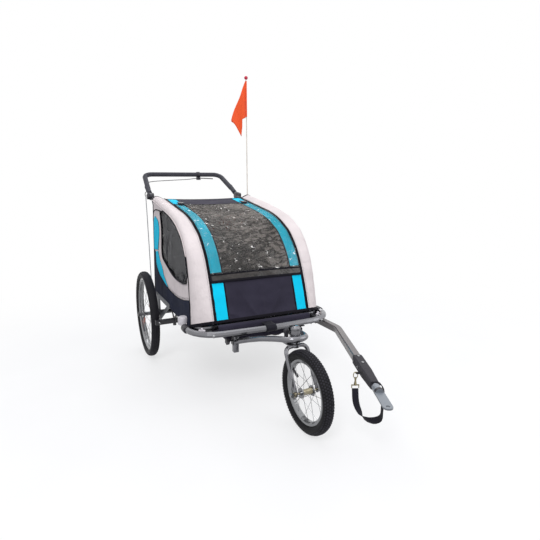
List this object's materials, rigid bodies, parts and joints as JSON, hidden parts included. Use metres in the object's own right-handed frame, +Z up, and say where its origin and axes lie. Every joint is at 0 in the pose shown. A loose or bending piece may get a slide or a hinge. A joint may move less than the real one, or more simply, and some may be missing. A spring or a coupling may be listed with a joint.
{
  "type": "child bike trailer",
  "caption": "Child bike trailer and stroller with a zip fabric cabin, two large rear wheels, a swivelling front wheel, a tow arm, a push handle and a safety flag.",
  "frame": {"origin": "on the ground under the middle of the bounding box", "axes": "front faces -Y, +Y to the rear, +Z up, +X to the trailer's left, the side of the tow arm"},
  "size_m": [0.898, 2.2088, 1.654],
  "materials": {
    "silver_tube": "satin silver enamel on steel tube",
    "black_steel": "black powder coat",
    "grey_steel": "grey enamel",
    "pewter_tube": "pewter grey powder coat",
    "bright_steel": "bright zinc plate",
    "rubber": "dull black rubber",
    "flex_rubber": "dull black rubber",
    "black_plastic": "matt moulded",
    "foam": "closed cell foam",
    "light_cloth": "coated polyester",
    "blue_cloth": "coated polyester",
    "black_cloth": "coated polyester",
    "mesh_cloth": "open mesh",
    "clear_film": "clear vinyl",
    "webbing": "woven webbing",
    "orange_cloth": "thin nylon",
    "pole": "glass fibre rod",
    "cable_grey": "cable housing"
  },
  "bodies": {
    "chassis": {"axle_beam": "grey_steel", "base_frame": "silver_tube", "brake_backplate": "grey_steel", "brake_cable": "cable_grey", "bumper_bar": "silver_tube", "flex_connector": "flex_rubber", "front_screen": "mesh_cloth", "guard_bar": "black_steel", "handle_bracket_left": "black_plastic", "handle_bracket_right": "black_plastic", "harness_left": "webbing", "harness_right": "webbing", "hood_band_left": "light_cloth", "hood_band_right": "light_cloth", "hood_stripe_left": "blue_cloth", "hood_stripe_right": "blue_cloth", "lower_body": "black_cloth", "rain_window": "clear_film", "roof_crossbar": "silver_tube", "safety_strap": "webbing", "seat_back": "black_cloth", "seat_base": "black_cloth", "side_hoop_left": "silver_tube", "side_hoop_right": "silver_tube", "side_panel_left": "light_cloth", "side_panel_right": "light_cloth", "side_window_left": "clear_film", "side_window_right": "clear_film", "snap_hook": "bright_steel", "tow_arm": "pewter_tube", "tow_receiver": "black_steel", "wheel_arm": "silver_tube", "wheel_receiver_left": "black_steel", "wheel_receiver_right": "black_steel"},
    "rear_wheel_right": {"rear_right_tyre": "rubber", "rear_right_rim": "bright_steel", "rear_right_hub": "bright_steel"},
    "rear_wheel_left": {"rear_left_tyre": "rubber", "rear_left_rim": "bright_steel", "rear_left_hub": "bright_steel"},
    "fork_body": {"fork": "silver_tube", "front_axle": "bright_steel"},
    "front_wheel": {"front_tyre": "rubber", "front_rim": "bright_steel", "front_hub": "bright_steel"},
    "release_lever": {"quick_release_lever": "bright_steel"},
    "push_handle": {"handlebar": "black_steel", "handlebar_grip": "foam", "brake_lever_mount": "black_plastic", "brake_cable_upper": "black_plastic"},
    "brake_lever_body": {"brake_lever": "black_plastic"},
    "tilt_knob_left": {"handle_knob_left": "black_plastic"},
    "tilt_knob_right": {"handle_knob_right": "black_plastic"},
    "arm_knob_left": {"receiver_knob_left": "black_plastic"},
    "arm_knob_right": {"receiver_knob_right": "black_plastic"},
    "lock_plunger": {"swivel_lock_knob": "black_plastic"},
    "hitch_pin": {"tow_pin": "bright_steel"},
    "tow_coupler": {"coupler": "grey_steel"},
    "flag": {"flag_pole": "pole", "flag_pennant": "orange_cloth"}
  },
  "joints": [
    {"name": "rear_right_wheel_spin", "type": "hinge", "parent": "chassis", "child": "rear_wheel_right", "pos_m": [-0.403, 0.49993, 0.2475], "axis": [1, 0, 0], "continuous": true},
    {"name": "rear_left_wheel_spin", "type": "hinge", "parent": "chassis", "child": "rear_wheel_left", "pos_m": [0.403, 0.49993, 0.2475], "axis": [1, 0, 0], "continuous": true},
    {"name": "fork_swivel", "type": "hinge", "parent": "chassis", "child": "fork_body", "pos_m": [0, -0.56007, 0.35], "axis": [0, 0, 1], "continuous": true},
    {"name": "front_wheel_spin", "type": "hinge", "parent": "fork_body", "child": "front_wheel", "pos_m": [0.0036, -0.64999, 0.1725], "axis": [0.9992, 0.04, 0], "continuous": true},
    {"name": "quick_release_flip", "type": "hinge", "parent": "fork_body", "child": "release_lever", "pos_m": [-0.06495, -0.65274, 0.1725], "axis": [0.04, -0.9992, 0], "range_deg": [0, 170]},
    {"name": "handle_tilt", "type": "hinge", "parent": "chassis", "child": "push_handle", "pos_m": [0, 0.78993, 0.914], "axis": [1, 0, 0], "range_deg": [-45, 125]},
    {"name": "brake_lever_squeeze", "type": "hinge", "parent": "push_handle", "child": "brake_lever_body", "pos_m": [0.11, 1.07293, 1.0289], "axis": [0, -1, 0], "range_deg": [0, 5], "stiffness_Nm_per_rad": 1, "springref_deg": -5.73},
    {"name": "handle_knob_left_turn", "type": "hinge", "parent": "push_handle", "child": "tilt_knob_left", "pos_m": [0.2976, 0.78993, 0.914], "axis": [1, 0, 0], "continuous": true},
    {"name": "handle_knob_right_turn", "type": "hinge", "parent": "push_handle", "child": "tilt_knob_right", "pos_m": [-0.2976, 0.78993, 0.914], "axis": [1, 0, 0], "continuous": true},
    {"name": "arm_knob_left_turn", "type": "hinge", "parent": "chassis", "child": "arm_knob_left", "pos_m": [0.182, -0.26507, 0.292], "axis": [1, 0, 0], "continuous": true},
    {"name": "arm_knob_right_turn", "type": "hinge", "parent": "chassis", "child": "arm_knob_right", "pos_m": [-0.182, -0.26507, 0.292], "axis": [1, 0, 0], "continuous": true},
    {"name": "swivel_lock_press", "type": "slide", "parent": "chassis", "child": "lock_plunger", "axis": [0, 0, -1], "range_m": [0, 0.006]},
    {"name": "hitch_pin_pull", "type": "slide", "parent": "chassis", "child": "hitch_pin", "axis": [-1, 0, 0], "range_m": [0, 0.045]},
    {"name": "tow_coupler_yaw", "type": "hinge", "parent": "chassis", "child": "tow_coupler", "pos_m": [0.09821, -0.95923, 0.305], "axis": [0, 0, 1], "range_deg": [-45, 45]},
    {"name": "flag_pole_pull", "type": "slide", "parent": "chassis", "child": "flag", "axis": [0, 0, 1], "range_m": [0, 0.05]}
  ]
}
